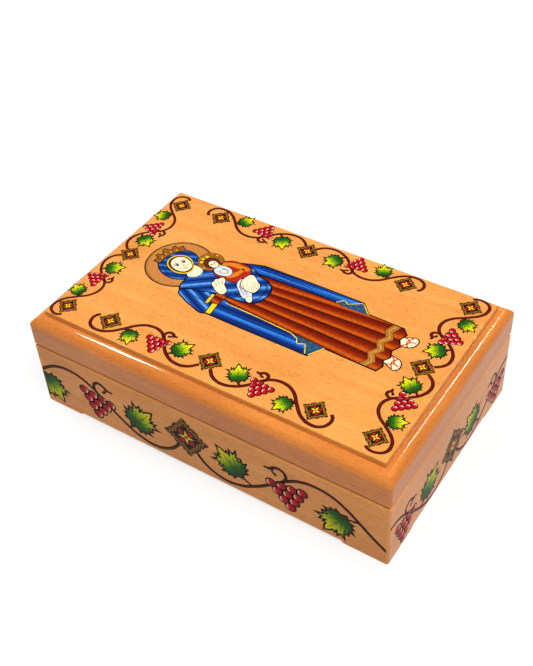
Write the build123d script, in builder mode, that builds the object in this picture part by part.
"""A hinged wooden keepsake box: four mitred walls on corner feet, a let-in floor, and a moulded lid.

Millimetres. The origin is on the table under the box's centre: +X runs along the long side, -Y is the
front, +Y is the hinged back, and +Z is up.
"""

import os
from math import cos, radians, sin, tan

from build123d import *

# Outside of the box
box_length = 240.0
box_depth = 150.0
box_height = 71.5
seam_height = 47.5  # where the lid parts from the base
seam_gap = 0.3  # between the rims when the lid is shut
wall_thickness = 10.0
corner_round = 1.5  # vertical arrises, sanded after the glue-up

# Base
base_edge_round = 2.0  # outer top edge of the base
foot_length = 27.0  # the walls stand on their corners only
foot_relief = 1.8  # how far the walls are cut up between the feet
floor_thickness = 4.0
floor_lift = 4.0  # underside of the floor above the table
floor_tongue = 3.0  # how far the floor is let into the walls
floor_fit = 0.15  # play round the floor in its groove

# Lid
lid_edge_round = 1.5  # outer lower edge of the lid
moulding_radius = 7.0  # quarter round along the top of the rails
moulding_fillet = 0.6  # flat between the quarter round and the panel
panel_rise = 3.5  # the panel stands this far above the rails
panel_edge_round = 0.6
panel_tongue = 3.0  # how far the panel is let into the rails
panel_tongue_thickness = 3.0
rail_lip = 3.2  # wood of the rail over the panel's tongue
panel_fit = 0.1  # play round the panel in the rails

# Hinges: the barrel lies in the V of the two back bevels, which meet and stop the lid when it is open
hinge_end_distance = 32.0  # from each hinge to its end of the box
hinge_length = 30.0
knuckle_count = 5
knuckle_gap = 0.15  # between two knuckles, along the pin
pin_radius = 1.0
pin_play = 0.05  # round the pin, in the lid's knuckles
leaf_thickness = 1.0
leaf_width = 6.8  # from the pin's axis
leaf_gap = 0.4  # between the two leaves when the lid is shut
barrel_clearance = 0.15  # wood and notches round the barrel
mortise_fit = 0.1  # play round a leaf in its mortise
stop_bevel_angle = 51.0  # each back edge, from the seam

# Countersunk screws of the hinges
screw_length = 8.0
screw_shank_radius = 0.9
screw_head_radius = 1.7
screw_head_depth = 0.8
screw_point = 1.6
screw_slot_width = 0.4
screw_slot_depth = 0.35
screw_setback = 4.0  # from the pin's axis
screw_spacing = 18.0  # between the two screws of a leaf
screw_head_play = 0.05

# Sizes that follow
base_top = seam_height - seam_gap / 2
lid_bottom = seam_height + seam_gap / 2
rail_top = box_height - panel_rise
panel_inset = moulding_radius + moulding_fillet
tongue_top = rail_top - rail_lip
tongue_bottom = tongue_top - panel_tongue_thickness
barrel_radius = pin_radius + leaf_thickness
pin_y = box_depth / 2 - barrel_radius  # the barrel is flush with the back
hinge_offset = box_length / 2 - hinge_end_distance - hinge_length / 2
knuckle_pitch = hinge_length / knuckle_count
leaf_offset = leaf_gap / 2  # of a leaf's face from the seam
cutter_margin = 1.0  # a cutter reaches this far past what it cuts
mitre_reach = wall_thickness + cutter_margin


def base_section(run, depth):
    """The section of a base wall at the front: rounded top edge, and the groove that holds the floor."""
    outer = -depth / 2
    inner = outer + wall_thickness
    groove_end = inner - floor_tongue - floor_fit
    groove_top = floor_lift + floor_thickness + floor_fit
    with BuildSketch(Plane.YZ.offset(-run / 2)) as section:
        with BuildLine():
            Polyline(
                (outer, base_top - base_edge_round),
                (outer, 0),
                (inner, 0),
                (inner, floor_lift),
                (groove_end, floor_lift),
                (groove_end, groove_top),
                (inner, groove_top),
                (inner, base_top),
                (outer + base_edge_round, base_top),
            )
            RadiusArc(
                (outer + base_edge_round, base_top),
                (outer, base_top - base_edge_round),
                -base_edge_round,
            )
        make_face()
    return section.sketch


def rail_section(run, depth):
    """The section of a lid rail at the front: quarter round outside, and the groove for the panel inside."""
    outer = -depth / 2
    inner = outer + wall_thickness
    lip_end = outer + panel_inset
    groove_end = lip_end - panel_tongue - panel_fit
    groove_top = tongue_top + panel_fit
    moulding_start = rail_top - moulding_radius
    with BuildSketch(Plane.YZ.offset(-run / 2)) as section:
        with BuildLine():
            RadiusArc(
                (outer, lid_bottom + lid_edge_round),
                (outer + lid_edge_round, lid_bottom),
                -lid_edge_round,
            )
            Polyline(
                (outer + lid_edge_round, lid_bottom),
                (inner, lid_bottom),
                (inner, tongue_bottom),
                (groove_end, tongue_bottom),
                (groove_end, groove_top),
                (lip_end, groove_top),
                (lip_end, rail_top),
                (outer + moulding_radius, rail_top),
            )
            RadiusArc(
                (outer + moulding_radius, rail_top),
                (outer, moulding_start),
                -moulding_radius,
            )
            Line((outer, moulding_start), (outer, lid_bottom + lid_edge_round))
        make_face()
    return section.sketch


def mitred_side(section, run, depth):
    """One side as a length of stock with the given section, mitred at both ends, in the front's place.

    The plan that it is cut to rounds the vertical arris up to the mitre, and clears the outer face.
    """
    front = -depth / 2
    half_flat = run / 2 - corner_round
    half_mitre = half_flat + corner_round * cos(radians(45))
    mitre_y = front + corner_round * (1 - sin(radians(45)))
    with BuildPart() as side:
        extrude(section(run, depth), amount=run)
        with BuildSketch():
            with BuildLine():
                Polyline(
                    (-half_flat, front),
                    (-half_flat, front - cutter_margin),
                    (half_flat, front - cutter_margin),
                    (half_flat, front),
                )
                RadiusArc((half_flat, front), (half_mitre, mitre_y), -corner_round)
                Polyline(
                    (half_mitre, mitre_y),
                    (run / 2 - mitre_reach, front + mitre_reach),
                    (-run / 2 + mitre_reach, front + mitre_reach),
                    (-half_mitre, mitre_y),
                )
                RadiusArc((-half_mitre, mitre_y), (-half_flat, front), -corner_round)
            make_face()
        extrude(amount=box_height, mode=Mode.INTERSECT)
    return side.part


def foot_cut(run, depth):
    """The wood sawn away between the two feet of a wall, with its ends cut at 45 degrees."""
    half_gap = run / 2 - foot_length
    with BuildPart() as cut:
        with BuildSketch(Plane.XZ.offset(depth / 2 + cutter_margin)):
            with BuildLine():
                Polyline(
                    (-half_gap, -cutter_margin),
                    (half_gap, -cutter_margin),
                    (half_gap, 0),
                    (half_gap - foot_relief, foot_relief),
                    (-half_gap + foot_relief, foot_relief),
                    (-half_gap, 0),
                    close=True,
                )
            make_face()
        extrude(amount=-(wall_thickness + 2 * cutter_margin))
    return cut.part


def stop_bevel(side):
    """The wedge planed off the back, from the pin's axis outwards: side is -1 for the base, 1 for the lid."""
    reach = barrel_radius + cutter_margin
    fall = reach * tan(radians(stop_bevel_angle))
    with BuildPart() as wedge:
        with BuildSketch(Plane.YZ.offset(-box_length / 2 - cutter_margin)):
            with BuildLine():
                Polyline(
                    (pin_y, seam_height),
                    (pin_y + reach, seam_height - side * cutter_margin),
                    (pin_y + reach, seam_height + side * fall),
                    close=True,
                )
            make_face()
        extrude(amount=box_length + 2 * cutter_margin)
    return wedge.part


def hinge_mortise(hinge_x, side):
    """The bed of one leaf and its half of the barrel, cut into the wood: side is -1 base, 1 lid."""
    bed_depth = leaf_offset + leaf_thickness
    bed_length = hinge_length + 2 * mortise_fit
    bed_width = leaf_width + mortise_fit
    with BuildPart() as mortise:
        with BuildSketch(Plane.XY.offset(seam_height)):
            with Locations((hinge_x, pin_y - bed_width / 2)):
                Rectangle(bed_length, bed_width)
        extrude(amount=side * bed_depth)
        with Locations((hinge_x, pin_y, seam_height)):
            Cylinder(
                barrel_radius + barrel_clearance, bed_length, rotation=(0, 90, 0)
            )
    return mortise.part


def screw_places(hinge_x, side):
    """The heads' places on a leaf's face, as planes that look away from the leaf."""
    face = seam_height + side * leaf_offset
    return [
        Plane(
            origin=(hinge_x + step, pin_y - screw_setback, face),
            x_dir=(1, 0, 0),
            z_dir=(0, 0, -side),
        )
        for step in (-screw_spacing / 2, screw_spacing / 2)
    ]


def screw_holes(hinge_x, side):
    """The screws' pilot holes in the wood, line to line with the shanks."""
    with BuildPart() as holes:
        for place in screw_places(hinge_x, side):
            with BuildSketch(place):
                Circle(screw_shank_radius)
            extrude(amount=-screw_length)
    return holes.part


def hinge_leaf(hinge_x, side, bore_radius, own_knuckles, other_knuckles):
    """A brass leaf with its rolled knuckles and two countersunk holes: side is -1 base, 1 lid."""
    first = hinge_x - hinge_length / 2 + knuckle_pitch / 2
    with BuildPart() as leaf:
        with BuildSketch(Plane.XY.offset(seam_height + side * leaf_offset)):
            with Locations((hinge_x, pin_y - leaf_width / 2)):
                Rectangle(hinge_length, leaf_width)
        extrude(amount=side * leaf_thickness)
        with Locations(
            [(first + n * knuckle_pitch, pin_y, seam_height) for n in own_knuckles]
        ):
            Cylinder(barrel_radius, knuckle_pitch - knuckle_gap, rotation=(0, 90, 0))
        with Locations(
            [(first + n * knuckle_pitch, pin_y, seam_height) for n in other_knuckles]
        ):
            Cylinder(
                barrel_radius + barrel_clearance,
                knuckle_pitch + knuckle_gap,
                rotation=(0, 90, 0),
                mode=Mode.SUBTRACT,
            )
        with Locations((hinge_x, pin_y, seam_height)):
            Cylinder(
                bore_radius,
                hinge_length + cutter_margin,
                rotation=(0, 90, 0),
                mode=Mode.SUBTRACT,
            )
        with Locations(*screw_places(hinge_x, side)):
            CounterSinkHole(
                screw_shank_radius + screw_head_play,
                screw_head_radius + screw_head_play,
                depth=2 * leaf_thickness,
                counter_sink_angle=90,
            )
    return leaf.part


def hinge_screws(hinge_x, side):
    """The two countersunk wood screws of one leaf, slotted."""
    with BuildPart() as screws:
        for place in screw_places(hinge_x, side):
            with BuildSketch(Plane(place.origin, x_dir=(1, 0, 0), z_dir=(0, -1, 0))):
                with BuildLine():
                    Polyline(
                        (0, 0),
                        (screw_head_radius, 0),
                        (screw_shank_radius, side * (screw_head_radius - screw_shank_radius)),
                        (screw_shank_radius, side * (screw_length - screw_point)),
                        (0, side * screw_length),
                        close=True,
                    )
                make_face()
            revolve(axis=Axis(place.origin, (0, 0, 1)))
            with BuildSketch(place):
                Rectangle(2 * screw_head_radius, screw_slot_width)
            extrude(amount=-screw_slot_depth, mode=Mode.SUBTRACT)
    return screws.part


def hinge_pin(hinge_x):
    """The pin through all the knuckles."""
    with BuildPart() as pin:
        with Locations((hinge_x, pin_y, seam_height)):
            Cylinder(pin_radius, hinge_length, rotation=(0, 90, 0))
    return pin.part


hinges = {"left_hinge": -hinge_offset, "right_hinge": hinge_offset}
lid_knuckles = list(range(1, knuckle_count, 2))
base_knuckles = [n for n in range(knuckle_count) if n not in lid_knuckles]

# Each side of the box: how far the front is turned to make it, how long it runs, and how deep the box is
# across it
sides = {
    "front": (0, box_length, box_depth),
    "right": (90, box_depth, box_length),
    "back": (180, box_length, box_depth),
    "left": (270, box_depth, box_length),
}

finished = {}

# Base walls
for side_name, (turn, run, depth) in sides.items():
    with BuildPart() as wall:
        add(mitred_side(base_section, run, depth), rotation=(0, 0, turn))
        add(foot_cut(run, depth), rotation=(0, 0, turn), mode=Mode.SUBTRACT)
        if side_name != "front":
            add(stop_bevel(-1), mode=Mode.SUBTRACT)
        if side_name == "back":
            for hinge_x in hinges.values():
                add(hinge_mortise(hinge_x, -1), mode=Mode.SUBTRACT)
                add(screw_holes(hinge_x, -1), mode=Mode.SUBTRACT)
    finished[f"{side_name}_wall"] = wall

# Floor, let into the four walls
with BuildPart() as floor_panel:
    with BuildSketch(Plane.XY.offset(floor_lift)):
        Rectangle(
            box_length - 2 * (wall_thickness - floor_tongue),
            box_depth - 2 * (wall_thickness - floor_tongue),
        )
    extrude(amount=floor_thickness)
finished["floor_panel"] = floor_panel

# Lid rails
for side_name, (turn, run, depth) in sides.items():
    with BuildPart() as rail:
        add(mitred_side(rail_section, run, depth), rotation=(0, 0, turn))
        if side_name != "front":
            add(stop_bevel(1), mode=Mode.SUBTRACT)
        if side_name == "back":
            for hinge_x in hinges.values():
                add(hinge_mortise(hinge_x, 1), mode=Mode.SUBTRACT)
                add(screw_holes(hinge_x, 1), mode=Mode.SUBTRACT)
    finished[f"lid_{side_name}_rail"] = rail

# Raised lid panel: a field that stands over the rails, with a tongue all round under their lip
with BuildPart() as lid_panel:
    with BuildSketch(Plane.XY.offset(tongue_bottom)):
        Rectangle(
            box_length - 2 * (panel_inset - panel_tongue),
            box_depth - 2 * (panel_inset - panel_tongue),
        )
    extrude(amount=panel_tongue_thickness)
    with BuildSketch(Plane.XY.offset(tongue_bottom)):
        Rectangle(
            box_length - 2 * (panel_inset + panel_fit),
            box_depth - 2 * (panel_inset + panel_fit),
        )
    extrude(amount=box_height - tongue_bottom)
    fillet(lid_panel.faces().sort_by(Axis.Z)[-1].edges(), panel_edge_round)
finished["lid_panel"] = lid_panel

# Hinges
for hinge_name, hinge_x in hinges.items():
    with BuildPart() as base_leaf:
        add(hinge_leaf(hinge_x, -1, pin_radius, base_knuckles, lid_knuckles))
    with BuildPart() as lid_leaf:
        add(hinge_leaf(hinge_x, 1, pin_radius + pin_play, lid_knuckles, base_knuckles))
    with BuildPart() as pin:
        add(hinge_pin(hinge_x))
    with BuildPart() as base_screws:
        add(hinge_screws(hinge_x, -1))
    with BuildPart() as lid_screws:
        add(hinge_screws(hinge_x, 1))
    finished[f"{hinge_name}_base_leaf"] = base_leaf
    finished[f"{hinge_name}_lid_leaf"] = lid_leaf
    finished[f"{hinge_name}_pin"] = pin
    finished[f"{hinge_name}_base_screws"] = base_screws
    finished[f"{hinge_name}_lid_screws"] = lid_screws

os.makedirs("parts", exist_ok=True)
for node, piece in finished.items():
    piece.part.label = node
    export_step(piece.part, f"parts/{node}.step")
